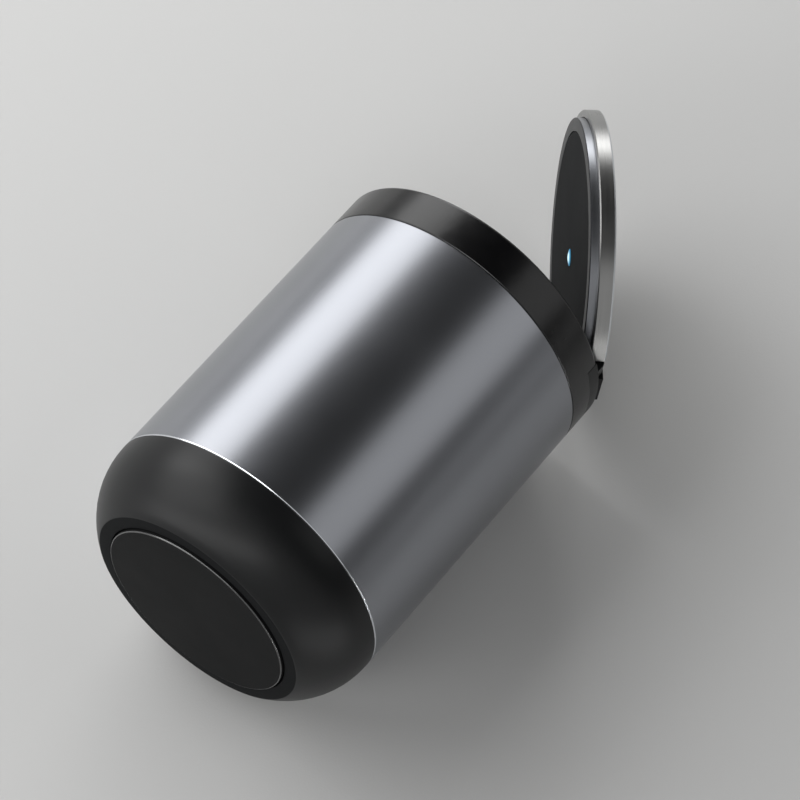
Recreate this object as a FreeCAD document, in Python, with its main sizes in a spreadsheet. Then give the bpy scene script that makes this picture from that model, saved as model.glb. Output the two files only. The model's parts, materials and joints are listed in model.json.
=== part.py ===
import FreeCAD, Part
import math
import os
import re

import Sketcher

# A car ashtray that stands in a cup holder: rounded base, aluminium sleeve, collar with a
# lift-out metal liner, and a hinged lid that carries a small lamp. The frame's origin is
# the middle of the foot pad's underside, +Z runs up the body and the hinge is at +Y.
# The lid is drawn in a frame of its own, with its axis on Z and its plug's lower face at
# zero, and is then turned open about the hinge pin.

# Driving sizes, in millimetres and degrees
SIZES = {
    # Body
    "body_diameter": 72.0,
    "base_height": 17.8,
    "sleeve_length": 74.2,
    "collar_height": 9.9,
    # Base and foot pad
    "crease_inset": 8.4,
    "base_strip": 0.6,
    "land_width": 3.4,
    "pad_stand": 0.7,
    "pad_thickness": 1.7,
    "pad_gap": 0.3,
    "pad_bevel": 0.3,
    "floor_thickness": 2.0,
    # Sleeve and the barrel inside it
    "sleeve_wall": 1.2,
    "sleeve_fit": 0.1,
    "sleeve_chamfer": 0.3,
    "barrel_wall": 1.7,
    "barrel_gap": 0.1,
    # Collar
    "mouth_gap": 0.3,
    "mouth_chamfer": 0.3,
    "collar_edge": 0.8,
    "ledge_drop": 3.6,
    "ledge_width": 1.6,
    "ledge_thickness": 2.2,
    # Liner
    "liner_wall": 0.8,
    "liner_gap": 0.3,
    "flange_gap": 0.9,
    "liner_bend": 1.0,
    "liner_corner": 10.0,
    "liner_floor_gap": 2.5,
    # Hinge
    "lid_angle": 51.6,
    "pivot_inset": 2.8,
    "bracket_width": 24.2,
    "bracket_fit": 0.2,
    "notch_depth": 3.5,
    "ear_inner": 5.4,
    "ear_width": 3.8,
    "ear_radius": 1.5,
    "ear_root": 1.2,
    "ear_gap": 0.3,
    "pin_radius": 0.7,
    "pin_press_fit": 0.02,
    "pin_run_fit": 0.06,
    "pin_chamfer": 0.2,
    "washer_thickness": 0.4,
    "washer_gap": 0.1,
    "washer_rim": 0.6,
    "leaf_thickness": 1.2,
    "leaf_reach": 6.5,
    "leaf_gap": 0.2,
    # Lid
    "lid_inset": 1.5,
    "lid_gap": 0.2,
    "lid_plate": 1.0,
    "lid_bevel": 0.4,
    "rim_bevel": 0.25,
    "rim_gap": 0.2,
    "plug_inset": 3.4,
    "plug_depth": 1.9,
    "plug_bevel": 0.2,
    "plug_land": 3.1,
    "frame_wall": 1.6,
    "frame_floor": 0.8,
    "notch_bite": 0.6,
    "panel_thickness": 0.9,
    "panel_gap": 0.2,
    "panel_bevel": 0.12,
    # Lamp, board and cell
    "lens_radius": 2.0,
    "lens_flange": 0.6,
    "lens_gap": 0.05,
    "led_length": 2.8,
    "led_width": 2.0,
    "led_height": 0.8,
    "led_cup_radius": 0.7,
    "led_cup_depth": 0.3,
    "board_stand": 0.9,
    "board_thickness": 0.8,
    "board_width": 21.0,
    "board_front": 4.2,
    "board_back": 19.5,
    "board_corner": 1.5,
    "post_radius": 1.2,
    "post_inset": 2.2,
    "peg_radius": 0.55,
    "peg_fit": 0.05,
    "peg_proud": 0.3,
    "resistor_length": 2.0,
    "resistor_width": 1.2,
    "resistor_height": 0.5,
    "resistor_offset": 9.0,
    "resistor_bevel": 0.1,
    "cell_diameter": 20.0,
    "cell_thickness": 2.5,
    "cell_step": 1.2,
    "cell_cap": 0.3,
    "cell_edge": 0.3,
    "cell_headroom": 0.2,
    "cell_offset": 15.5,
    "cell_wall": 0.8,
    "cell_wall_gap": 0.2,
    "cell_wall_height": 1.5,
    "spring_thickness": 0.2,
    "spring_width": 3.0,
    "spring_reach": 5.0,
    "spring_slot_gap": 0.4,
    "contact_thickness": 0.2,
    "contact_height": 0.9,
    "contact_overlap": 2.5,
    "switch_radius": 1.2,
    "switch_length": 6.0,
    "switch_standoff": 2.3,
    "switch_offset": 6.0,
    "lead_radius": 0.2,
    "lead_spacing": 1.2,
    "lead_overlap": 1.5,
    # Screws
    "screw_radius": 0.6,
    "screw_fit": 0.02,
    "screw_head_radius": 1.15,
    "screw_head_height": 0.4,
    "bracket_screw_inset": 1.45,
    "bracket_screw_bite": 1.8,
    "leaf_screw_spacing": 5.6,
    "leaf_screw_bite": 0.6,
    "boss_radius": 1.8,
    "boss_inset": 2.3,
    "frame_screw_tip_gap": 0.3,
}

# Sizes that follow from the driving ones
FORMULAS = {
    "body_radius": "body_diameter / 2",
    "sleeve_top": "base_height + sleeve_length",
    "collar_top": "sleeve_top + collar_height",
    "crease_radius": "body_radius - crease_inset",
    "pad_pocket_radius": "crease_radius - land_width",
    "pad_radius": "pad_pocket_radius - pad_gap",
    "shoulder_top": "base_height - base_strip",
    "shoulder_rise": "shoulder_top - pad_stand",
    "shoulder_radius": "(crease_inset ^ 2 + shoulder_rise ^ 2) / (2 * crease_inset)",
    "sleeve_inner": "body_radius - sleeve_wall",
    "barrel_outer": "sleeve_inner - sleeve_fit",
    "barrel_inner": "barrel_outer - barrel_wall",
    "cup_floor": "pad_thickness + floor_thickness",
    "hollow_radius": "shoulder_radius - body_radius + barrel_inner",
    "hollow_drop": "shoulder_top - cup_floor",
    "hollow_floor_radius":
        "body_radius - shoulder_radius + sqrt(hollow_radius ^ 2 - hollow_drop ^ 2)",
    "plug_radius": "body_radius - plug_inset",
    "mouth_radius": "plug_radius + mouth_gap",
    "ledge_top": "collar_top - ledge_drop",
    "ledge_bottom": "ledge_top - ledge_thickness",
    "ledge_radius": "mouth_radius - ledge_width",
    "barrel_top": "ledge_bottom - barrel_gap",
    "liner_outer": "ledge_radius - liner_gap",
    "liner_inner": "liner_outer - liner_wall",
    "liner_bottom": "cup_floor + liner_floor_gap",
    "liner_top": "ledge_top + liner_wall",
    "flange_radius": "mouth_radius - flange_gap",
    "liner_inner_corner": "liner_corner - liner_wall",
    "notch_floor": "collar_top - notch_depth",
    "notch_half": "bracket_width / 2 + bracket_fit",
    "bracket_half": "bracket_width / 2",
    "pivot_y": "body_radius - pivot_inset",
    "pivot_z": "collar_top + lid_gap + knuckle_radius",
    "ear_outer": "ear_inner + ear_width",
    "washer_face": "ear_inner - washer_gap",
    "washer_radius": "pin_radius + pin_run_fit + washer_rim",
    "knuckle_half": "ear_inner - 2 * washer_gap - washer_thickness",
    "bracket_screw_x": "bracket_half - bracket_screw_inset",
    "bracket_screw_ring": "(mouth_radius + body_radius) / 2",
    "bracket_screw_y": "sqrt(bracket_screw_ring ^ 2 - bracket_screw_x ^ 2)",
    "screw_bore": "screw_radius + screw_fit",
    "screw_head_bore": "screw_head_radius + screw_fit",
    # In the lid's own frame
    "frame_top": "panel_thickness + frame_floor",
    "cell_room": "spring_thickness + cell_thickness + cell_headroom",
    "plate_under": "frame_top + cell_room",
    "lid_top": "plate_under + lid_plate",
    "lid_radius": "body_radius - lid_inset",
    "rim_inner": "plug_radius + rim_gap",
    "knuckle_radius": "(lid_top - plug_depth) / 2",
    "hinge_level": "(lid_top + plug_depth) / 2",
    "frame_inner": "plug_radius - frame_wall",
    "recess_radius": "plug_radius - plug_land",
    "panel_radius": "recess_radius - panel_gap",
    "lid_notch_y": "frame_inner - notch_bite",
    "lid_notch_half": "ear_outer + ear_gap",
    "lens_flange_radius": "lens_radius + lens_flange",
    "lens_hole": "lens_flange_radius + lens_gap",
    "leaf_front": "lid_notch_y - leaf_reach",
    "leaf_under": "plate_under - leaf_thickness",
    "leaf_screw_x": "leaf_screw_spacing / 2",
    "leaf_screw_y": "leaf_front + leaf_reach / 2",
    "board_under": "frame_top + board_stand",
    "board_top": "board_under + board_thickness",
    "board_half": "board_width / 2",
    "post_x": "board_half - post_inset",
    "cell_radius": "cell_diameter / 2",
    "cell_under": "frame_top + spring_thickness",
    "cell_top": "cell_under + cell_thickness",
    "cell_wall_radius": "cell_radius + cell_wall_gap",
    "switch_start": "board_half + switch_standoff",
    "boss_place": "(recess_radius - boss_inset) * sqrt(0.5)",
}

TURN_LEFT = 1
TURN_RIGHT = -1
BOSS_COUNT = 4

doc = FreeCAD.newDocument("CarAshtray")


def make_sheet():
    """Put each driving size in a named cell of the spreadsheet."""
    sheet = doc.addObject("Spreadsheet::Sheet", "Sizes")
    for row, (name, number) in enumerate(SIZES.items(), start=1):
        sheet.set(f"A{row}", name)
        sheet.set(f"B{row}", str(number))
        sheet.setAlias(f"B{row}", name)
    doc.recompute()
    return sheet


SHEET = make_sheet()


def bound(formula):
    """Return a formula with every size in it as a reference to its cell."""

    def reference(match):
        name = match.group(0)
        if name in FORMULAS:
            return f"({bound(FORMULAS[name])})"
        return f"Sizes.{name}" if name in SIZES else name

    return re.sub(r"[a-z_]+", reference, formula)


def value(formula):
    """Return what a formula comes to now."""
    return float(SHEET.evalExpression(bound(formula)))


def new_body(label):
    """Start the body of a sub-part, which may hold several equal solids."""
    body = doc.addObject("PartDesign::Body", label)
    body.Label = label
    body.AllowCompound = True
    return body


def origin_feature(body, role):
    """Return a plane or axis of the body's own origin."""
    return next(item for item in body.Origin.OriginFeatures if item.Role == role)


def sketch_on(body, name, role, across="0", up="0", lift="0"):
    """Add a sketch on an origin plane, shifted in the plane and lifted off it."""
    sketch = body.newObject("Sketcher::SketchObject", f"{body.Label}_{name}_sketch")
    sketch.AttachmentSupport = (origin_feature(body, role), [""])
    sketch.MapMode = "FlatFace"
    for axis, formula in zip("xyz", (across, up, lift)):
        if formula != "0":
            sketch.setExpression(f"AttachmentOffset.Base.{axis}", bound(formula))
    return sketch


def tie(sketch, kind, *items, formula):
    """Add a dimension to a sketch and bind it to a formula."""
    index = sketch.addConstraint(Sketcher.Constraint(kind, *items, abs(value(formula))))
    sketch.setExpression(f"Constraints[{index}]", bound(formula))


def tie_point(sketch, geometry, end, x, y):
    """Bind a point's two coordinates, measured from the sketch's origin."""
    for kind, axis, formula in (("DistanceX", -2, x), ("DistanceY", -1, y)):
        if formula == "0":
            sketch.addConstraint(Sketcher.Constraint("PointOnObject", geometry, end, axis))
        elif value(formula) > 0:
            tie(sketch, kind, -1, 1, geometry, end, formula=formula)
        else:
            tie(sketch, kind, geometry, end, -1, 1, formula=f"-({formula})")


def arc_between(start, finish, radius, turn):
    """Return the shorter arc from start to finish that turns the given way."""
    chord = finish - start
    height = math.sqrt(max(radius ** 2 - (chord.Length / 2) ** 2, 0.0))
    left = FreeCAD.Vector(-chord.y, chord.x, 0).normalize()
    centre = (start + finish) * 0.5 + left * (turn * height)
    first, last = (start, finish) if turn == TURN_LEFT else (finish, start)
    angles = [math.atan2(point.y - centre.y, point.x - centre.x) for point in (first, last)]
    circle = Part.Circle(centre, FreeCAD.Vector(0, 0, 1), radius)
    return Part.ArcOfCircle(circle, *angles)


def draw_outline(sketch, corners):
    """Draw a closed outline. A corner (x, y) starts a line to the next corner, and a corner
    (x, y, radius, turn) starts an arc to it."""
    points = [FreeCAD.Vector(value(corner[0]), value(corner[1]), 0) for corner in corners]
    edges = []
    for index, corner in enumerate(corners):
        here, there = points[index], points[(index + 1) % len(points)]
        if len(corner) == 2:
            edges.append((sketch.addGeometry(Part.LineSegment(here, there)), 1, 2))
            continue
        radius, turn = corner[2:]
        geometry = sketch.addGeometry(arc_between(here, there, value(radius), turn))
        edges.append((geometry, 1, 2) if turn == TURN_LEFT else (geometry, 2, 1))
    for index, (geometry, start, _) in enumerate(edges):
        before, _, before_end = edges[index - 1]
        sketch.addConstraint(
            Sketcher.Constraint("Coincident", before, before_end, geometry, start))
    for (geometry, start, _), corner in zip(edges, corners):
        tie_point(sketch, geometry, start, corner[0], corner[1])
        if len(corner) > 2:
            tie(sketch, "Radius", geometry, formula=corner[2])
    return sketch


def draw_box(sketch, left, right, front, back):
    """Draw a rectangle between two values of x and two of y."""
    return draw_outline(
        sketch, [(left, front), (right, front), (right, back), (left, back)])


def draw_circle(sketch, radius, x="0", y="0"):
    """Draw a circle round a bound centre."""
    centre = FreeCAD.Vector(value(x), value(y), 0)
    circle = Part.Circle(centre, FreeCAD.Vector(0, 0, 1), value(radius))
    geometry = sketch.addGeometry(circle)
    tie_point(sketch, geometry, 3, x, y)
    tie(sketch, "Radius", geometry, formula=radius)
    return sketch


def revolve(body, sketch):
    """Turn a half section about the sketch's upright axis."""
    feature = body.newObject("PartDesign::Revolution", f"{sketch.Label}_turned")
    feature.Profile = sketch
    feature.ReferenceAxis = (sketch, ["V_Axis"])
    feature.Angle = 360
    return feature


def pad(body, sketch, length, symmetric=False):
    """Raise a sketch to a solid along its normal."""
    feature = body.newObject("PartDesign::Pad", f"{sketch.Label}_pad")
    feature.Profile = sketch
    feature.SideType = "Symmetric" if symmetric else "One side"
    feature.setExpression("Length", bound(length))
    return feature


def pocket(body, sketch, length, symmetric=False, backwards=False):
    """Cut a sketch into the body, and make sure that it took something away."""
    doc.recompute()
    before = body.Shape.Volume
    feature = body.newObject("PartDesign::Pocket", f"{sketch.Label}_cut")
    feature.Profile = sketch
    feature.SideType = "Symmetric" if symmetric else "One side"
    feature.Reversed = backwards
    feature.setExpression("Length", bound(length))
    doc.recompute()
    if feature.Shape.Volume >= before:
        raise RuntimeError(f"{feature.Label} cuts nothing")
    return feature


def mirror(body, *features):
    """Repeat features on the other side of the YZ plane."""
    feature = body.newObject("PartDesign::Mirrored", f"{features[0].Label}_mirrored")
    feature.Originals = list(features)
    feature.MirrorPlane = (origin_feature(body, "YZ_Plane"), [""])
    body.Tip = feature
    return feature


def repeat_round(body, count, *features):
    """Repeat features evenly about the body's Z axis."""
    feature = body.newObject("PartDesign::PolarPattern", f"{features[0].Label}_pattern")
    feature.Originals = list(features)
    feature.Axis = (origin_feature(body, "Z_Axis"), [""])
    feature.Angle = 360
    feature.Occurrences = count
    body.Tip = feature
    return feature


def dress_edges(body, kind, base, size, wanted):
    """Round or bevel the edges of a feature that the test picks out."""
    doc.recompute()
    names = [f"Edge{n}" for n, edge in enumerate(base.Shape.Edges, start=1) if wanted(edge)]
    feature = body.newObject(f"PartDesign::{kind}", f"{base.Label}_{kind.lower()}")
    feature.Base = (base, names)
    feature.setExpression("Radius" if kind == "Fillet" else "Size", bound(size))
    return feature


def runs_along(axis):
    """Return a test for straight edges that run along an axis."""

    def test(edge):
        if not isinstance(edge.Curve, Part.Line):
            return False
        return abs(edge.Curve.Direction.dot(axis)) > 0.999

    return test


def is_circle(edge):
    """Tell whether an edge is a full circle or an arc."""
    return isinstance(edge.Curve, Part.Circle)


def hang_on_lid(body):
    """Turn a piece that is drawn on the closed lid open about the hinge pin."""
    body.Placement = FreeCAD.Placement(
        FreeCAD.Vector(), FreeCAD.Rotation(FreeCAD.Vector(-1, 0, 0), value("lid_angle")))
    body.setExpression("Placement.Rotation.Angle", bound("lid_angle"))
    body.setExpression("Placement.Base.y", bound(
        "pivot_y - pivot_y * cos(lid_angle) - hinge_level * sin(lid_angle)"))
    body.setExpression("Placement.Base.z", bound(
        "pivot_z + pivot_y * sin(lid_angle) - hinge_level * cos(lid_angle)"))
    return body


def base_cup():
    """Rounded base and the barrel inside the sleeve, moulded as one."""
    body = new_body("base_cup")
    profile = draw_outline(sketch_on(body, "section", "XZ_Plane"), [
        ("0", "pad_thickness"),
        ("pad_pocket_radius", "pad_thickness"),
        ("pad_pocket_radius", "pad_stand"),
        ("crease_radius", "pad_stand", "shoulder_radius", TURN_LEFT),
        ("body_radius", "shoulder_top"),
        ("body_radius", "base_height"),
        ("barrel_outer", "base_height"),
        ("barrel_outer", "barrel_top"),
        ("barrel_inner", "barrel_top"),
        ("barrel_inner", "shoulder_top", "hollow_radius", TURN_RIGHT),
        ("hollow_floor_radius", "cup_floor"),
        ("0", "cup_floor"),
    ])
    revolve(body, profile)
    return body


def foot_pad():
    """Round pad let into the base, standing a little proud of it."""
    body = new_body("foot_pad")
    profile = draw_outline(sketch_on(body, "section", "XZ_Plane"), [
        ("0", "0"),
        ("pad_radius - pad_bevel", "0"),
        ("pad_radius", "pad_bevel"),
        ("pad_radius", "pad_thickness"),
        ("0", "pad_thickness"),
    ])
    revolve(body, profile)
    return body


def body_sleeve():
    """Aluminium tube with a fine chamfer at each end."""
    body = new_body("body_sleeve")
    profile = draw_outline(sketch_on(body, "section", "XZ_Plane"), [
        ("sleeve_inner", "base_height"),
        ("body_radius - sleeve_chamfer", "base_height"),
        ("body_radius", "base_height + sleeve_chamfer"),
        ("body_radius", "sleeve_top - sleeve_chamfer"),
        ("body_radius - sleeve_chamfer", "sleeve_top"),
        ("sleeve_inner", "sleeve_top"),
    ])
    revolve(body, profile)
    return body


def collar():
    """Ring that caps the sleeve, with a ledge for the liner and a notch for the hinge."""
    body = new_body("collar")
    profile = draw_outline(sketch_on(body, "section", "XZ_Plane"), [
        ("sleeve_inner", "sleeve_top"),
        ("body_radius", "sleeve_top"),
        ("body_radius", "collar_top - collar_edge", "collar_edge", TURN_LEFT),
        ("body_radius - collar_edge", "collar_top"),
        ("mouth_radius + mouth_chamfer", "collar_top"),
        ("mouth_radius", "collar_top - mouth_chamfer"),
        ("mouth_radius", "ledge_top"),
        ("ledge_radius", "ledge_top"),
        ("ledge_radius", "ledge_bottom"),
        ("sleeve_inner", "ledge_bottom"),
    ])
    revolve(body, profile)
    notch = draw_box(
        sketch_on(body, "notch", "XZ_Plane"),
        "-notch_half", "notch_half", "notch_floor", "collar_top + notch_depth")
    pocket(body, notch, "body_diameter")
    holes = sketch_on(body, "holes", "XY_Plane", lift="notch_floor")
    for side in ("", "-"):
        draw_circle(holes, "screw_bore", f"{side}bracket_screw_x", "bracket_screw_y")
    pocket(body, holes, "bracket_screw_bite")
    return body


def ash_liner():
    """Pressed metal cup that hangs by its flange on the collar's ledge."""
    body = new_body("ash_liner")
    profile = draw_outline(sketch_on(body, "section", "XZ_Plane"), [
        ("0", "liner_bottom"),
        ("liner_outer - liner_corner", "liner_bottom", "liner_corner", TURN_LEFT),
        ("liner_outer", "liner_bottom + liner_corner"),
        ("liner_outer", "ledge_top"),
        ("flange_radius", "ledge_top"),
        ("flange_radius", "liner_top"),
        ("liner_inner + liner_bend", "liner_top", "liner_bend", TURN_LEFT),
        ("liner_inner", "liner_top - liner_bend"),
        ("liner_inner", "liner_bottom + liner_corner", "liner_inner_corner", TURN_RIGHT),
        ("liner_outer - liner_corner", "liner_bottom + liner_wall"),
        ("0", "liner_bottom + liner_wall"),
    ])
    revolve(body, profile)
    return body


def hinge_bracket():
    """Block in the collar's notch with two ears for the hinge pin."""
    body = new_body("hinge_bracket")
    inner_corner = "sqrt(mouth_radius ^ 2 - bracket_half ^ 2)"
    outer_corner = "sqrt(body_radius ^ 2 - bracket_half ^ 2)"
    block = draw_outline(sketch_on(body, "block", "XY_Plane", lift="notch_floor"), [
        ("-bracket_half", inner_corner, "mouth_radius", TURN_RIGHT),
        ("bracket_half", inner_corner),
        ("bracket_half", outer_corner, "body_radius", TURN_LEFT),
        ("-bracket_half", outer_corner),
    ])
    pad(body, block, "notch_depth")
    ear = draw_outline(sketch_on(body, "ear", "YZ_Plane", lift="ear_inner"), [
        ("pivot_y - ear_radius", "collar_top - ear_root"),
        ("pivot_y + ear_radius", "collar_top - ear_root"),
        ("pivot_y + ear_radius", "pivot_z", "ear_radius", TURN_LEFT),
        ("pivot_y", "pivot_z + ear_radius", "ear_radius", TURN_LEFT),
        ("pivot_y - ear_radius", "pivot_z"),
    ])
    mirror(body, pad(body, ear, "ear_width"))
    bore = draw_circle(
        sketch_on(body, "bore", "YZ_Plane"), "pin_radius + pin_press_fit", "pivot_y", "pivot_z")
    pocket(body, bore, "bracket_width", symmetric=True)
    for name, radius, depth in (
            ("holes", "screw_bore", "notch_depth"),
            ("seats", "screw_head_bore", "screw_head_height")):
        sketch = sketch_on(body, name, "XY_Plane", lift="collar_top")
        for side in ("", "-"):
            draw_circle(sketch, radius, f"{side}bracket_screw_x", "bracket_screw_y")
        pocket(body, sketch, depth)
    return body


def hinge_pin():
    """Straight pin, pressed into the ears."""
    body = new_body("hinge_pin")
    section = draw_circle(
        sketch_on(body, "section", "YZ_Plane"), "pin_radius", "pivot_y", "pivot_z")
    shaft = pad(body, section, "2 * ear_outer", symmetric=True)
    dress_edges(body, "Chamfer", shaft, "pin_chamfer", is_circle)
    return body


def friction_washers():
    """Two washers on the pin that drag on the lid's knuckle and hold it where it is put."""
    body = new_body("friction_washers")
    section = sketch_on(
        body, "section", "YZ_Plane", lift="washer_face - washer_thickness")
    draw_circle(section, "washer_radius", "pivot_y", "pivot_z")
    draw_circle(section, "pin_radius + pin_press_fit", "pivot_y", "pivot_z")
    mirror(body, pad(body, section, "washer_thickness"))
    return body


def screw_section(sketch, head_level, head_top, tip):
    """Draw half of a flat-headed screw about the sketch's upright axis."""
    return draw_outline(sketch, [
        ("0", tip),
        ("screw_radius", tip),
        ("screw_radius", head_level),
        ("screw_head_radius", head_level),
        ("screw_head_radius", head_top),
        ("0", head_top),
    ])


def bracket_screws():
    """Two screws that hold the bracket down in the collar's notch."""
    body = new_body("bracket_screws")
    section = sketch_on(
        body, "section", "XZ_Plane", across="bracket_screw_x", lift="-bracket_screw_y")
    screw_section(
        section, "collar_top - screw_head_height", "collar_top",
        "notch_floor - bracket_screw_bite")
    mirror(body, revolve(body, section))
    return body


def lid_shell():
    """Metal cap of the lid, with bosses for the frame's screws under its plate."""
    body = new_body("lid_shell")
    profile = draw_outline(sketch_on(body, "section", "XZ_Plane"), [
        ("rim_inner", "plug_depth"),
        ("lid_radius - rim_bevel", "plug_depth"),
        ("lid_radius", "plug_depth + rim_bevel"),
        ("lid_radius", "lid_top - lid_bevel"),
        ("lid_radius - lid_bevel", "lid_top"),
        ("0", "lid_top"),
        ("0", "plate_under"),
        ("rim_inner", "plate_under"),
    ])
    revolve(body, profile)
    notch = draw_box(
        sketch_on(body, "notch", "XY_Plane", lift="lid_top"),
        "-lid_notch_half", "lid_notch_half", "lid_notch_y", "body_radius")
    pocket(body, notch, "lid_top")
    boss = sketch_on(body, "boss", "XY_Plane", lift="frame_top")
    draw_circle(boss, "boss_radius", "boss_place", "boss_place")
    draw_circle(boss, "screw_bore", "boss_place", "boss_place")
    repeat_round(body, BOSS_COUNT, pad(body, boss, "cell_room"))
    holes = sketch_on(body, "holes", "XY_Plane", lift="plate_under")
    for side in ("", "-"):
        draw_circle(holes, "screw_bore", f"{side}leaf_screw_x", "leaf_screw_y")
    pocket(body, holes, "leaf_screw_bite", backwards=True)
    return hang_on_lid(body)


def lid_frame():
    """Plug ring and floor under the cap, which carry the lamp's parts."""
    body = new_body("lid_frame")
    profile = draw_outline(sketch_on(body, "section", "XZ_Plane"), [
        ("recess_radius", "0"),
        ("plug_radius - plug_bevel", "0"),
        ("plug_radius", "plug_bevel"),
        ("plug_radius", "plate_under"),
        ("frame_inner", "plate_under"),
        ("frame_inner", "frame_top"),
        ("lens_hole", "frame_top"),
        ("lens_hole", "panel_thickness"),
        ("recess_radius", "panel_thickness"),
    ])
    revolve(body, profile)
    notch = draw_box(
        sketch_on(body, "notch", "XY_Plane", lift="plate_under"),
        "-lid_notch_half", "lid_notch_half", "lid_notch_y", "body_radius")
    pocket(body, notch, "plate_under")
    hole = draw_circle(
        sketch_on(body, "hole", "XY_Plane", lift="frame_top"),
        "screw_bore", "boss_place", "boss_place")
    seat = draw_circle(
        sketch_on(body, "seat", "XY_Plane", lift="panel_thickness + screw_head_height"),
        "screw_head_bore", "boss_place", "boss_place")
    repeat_round(
        body, BOSS_COUNT, pocket(body, hole, "frame_floor"),
        pocket(body, seat, "screw_head_height"))
    wall = sketch_on(body, "cell_wall", "XY_Plane", lift="frame_top")
    draw_circle(wall, "cell_wall_radius + cell_wall", "0", "-cell_offset")
    draw_circle(wall, "cell_wall_radius", "0", "-cell_offset")
    pad(body, wall, "cell_wall_height")
    slot_half = "spring_width / 2 + spring_slot_gap"
    slot = draw_box(
        sketch_on(body, "slot", "XY_Plane", lift="frame_top + cell_wall_height"),
        f"-({slot_half})", slot_half, "-cell_offset", "-board_front")
    pocket(body, slot, "cell_wall_height")
    for name, radius, height in (
            ("posts", "post_radius", "board_stand"),
            ("pegs", "peg_radius", "board_stand + board_thickness + peg_proud")):
        sketch = sketch_on(body, name, "XY_Plane", lift="frame_top")
        draw_post_circles(sketch, radius)
        pad(body, sketch, height)
    return hang_on_lid(body)


def draw_post_circles(sketch, radius):
    """Draw a circle at each of the board's four posts."""
    for side in ("", "-"):
        for place in ("post_inset - board_front", "board_back - post_inset"):
            draw_circle(sketch, radius, f"{side}post_x", place)


def lid_panel():
    """Flat disc let into the plug ring, with a hole for the lens."""
    body = new_body("lid_panel")
    profile = draw_outline(sketch_on(body, "section", "XZ_Plane"), [
        ("lens_radius + lens_gap", "0"),
        ("panel_radius - panel_bevel", "0"),
        ("panel_radius", "panel_bevel"),
        ("panel_radius", "panel_thickness"),
        ("lens_radius + lens_gap", "panel_thickness"),
    ])
    revolve(body, profile)
    return hang_on_lid(body)


def led_lens():
    """Clear lens flush with the panel, held from behind by its flange."""
    body = new_body("led_lens")
    profile = draw_outline(sketch_on(body, "section", "XZ_Plane"), [
        ("0", "0"),
        ("lens_radius", "0"),
        ("lens_radius", "panel_thickness"),
        ("lens_flange_radius", "panel_thickness"),
        ("lens_flange_radius", "frame_top - lens_gap"),
        ("0", "frame_top - lens_gap"),
    ])
    revolve(body, profile)
    return hang_on_lid(body)


def led_chip():
    """Lamp under the board, with a cup round its light."""
    body = new_body("led_chip")
    outline = draw_box(
        sketch_on(body, "case", "XY_Plane", lift="board_under - led_height"),
        "-led_length / 2", "led_length / 2", "-led_width / 2", "led_width / 2")
    pad(body, outline, "led_height")
    cup = draw_circle(
        sketch_on(body, "cup", "XY_Plane", lift="board_under - led_height"), "led_cup_radius")
    pocket(body, cup, "led_cup_depth", backwards=True)
    return hang_on_lid(body)


def circuit_board():
    """Board on four posts, with rounded corners."""
    body = new_body("circuit_board")
    outline = draw_box(
        sketch_on(body, "outline", "XY_Plane", lift="board_under"),
        "-board_half", "board_half", "-board_front", "board_back")
    plate = pad(body, outline, "board_thickness")
    dress_edges(body, "Fillet", plate, "board_corner", runs_along(FreeCAD.Vector(0, 0, 1)))
    holes = sketch_on(body, "holes", "XY_Plane", lift="board_top")
    draw_post_circles(holes, "peg_radius + peg_fit")
    pocket(body, holes, "board_thickness")
    return hang_on_lid(body)


def chip_resistor():
    """Small resistor on the board's upper side."""
    body = new_body("chip_resistor")
    outline = draw_box(
        sketch_on(body, "case", "XY_Plane", lift="board_top"),
        "-resistor_length / 2", "resistor_length / 2",
        "resistor_offset - resistor_width / 2", "resistor_offset + resistor_width / 2")
    case = pad(body, outline, "resistor_height")
    dress_edges(
        body, "Chamfer", case, "resistor_bevel", runs_along(FreeCAD.Vector(0, 0, 1)))
    return hang_on_lid(body)


def coin_cell():
    """Coin cell with the step of its lower cap and a rounded upper edge."""
    body = new_body("coin_cell")
    profile = draw_outline(sketch_on(body, "section", "XZ_Plane", lift="cell_offset"), [
        ("0", "cell_under"),
        ("cell_radius - cell_step", "cell_under"),
        ("cell_radius - cell_step", "cell_under + cell_cap"),
        ("cell_radius", "cell_under + cell_cap"),
        ("cell_radius", "cell_top - cell_edge", "cell_edge", TURN_LEFT),
        ("cell_radius - cell_edge", "cell_top"),
        ("0", "cell_top"),
    ])
    revolve(body, profile)
    return hang_on_lid(body)


def cell_spring():
    """Strip under the cell, bent up to the board's lower side."""
    body = new_body("cell_spring")
    bend = "post_inset / 2 - board_front"
    profile = draw_outline(sketch_on(body, "section", "YZ_Plane"), [
        ("-cell_offset - spring_reach", "frame_top"),
        (bend, "frame_top"),
        (bend, "board_under"),
        (f"{bend} - spring_thickness", "board_under"),
        (f"{bend} - spring_thickness", "cell_under"),
        ("-cell_offset - spring_reach", "cell_under"),
    ])
    pad(body, profile, "spring_width", symmetric=True)
    return hang_on_lid(body)


def cell_contact():
    """Strip on edge that touches the cell's side and stands on the board."""
    body = new_body("cell_contact")
    outline = draw_box(
        sketch_on(body, "outline", "XY_Plane", lift="board_top"),
        "cell_radius", "cell_radius + contact_thickness",
        "-cell_offset - contact_overlap", "contact_overlap - board_front")
    pad(body, outline, "contact_height")
    return hang_on_lid(body)


def tilt_switch():
    """Switch that closes when the lid stands open, with two leads to the board."""
    body = new_body("tilt_switch")
    can = draw_circle(
        sketch_on(body, "can", "YZ_Plane", lift="switch_start"),
        "switch_radius", "switch_offset", "frame_top + switch_radius")
    pad(body, can, "switch_length")
    leads = sketch_on(body, "leads", "YZ_Plane", lift="board_half - lead_overlap")
    for side in ("+", "-"):
        draw_circle(
            leads, "lead_radius", f"switch_offset {side} lead_spacing / 2",
            "board_top + lead_radius")
    pad(body, leads, "switch_start - board_half + lead_overlap + lead_radius")
    return hang_on_lid(body)


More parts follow.
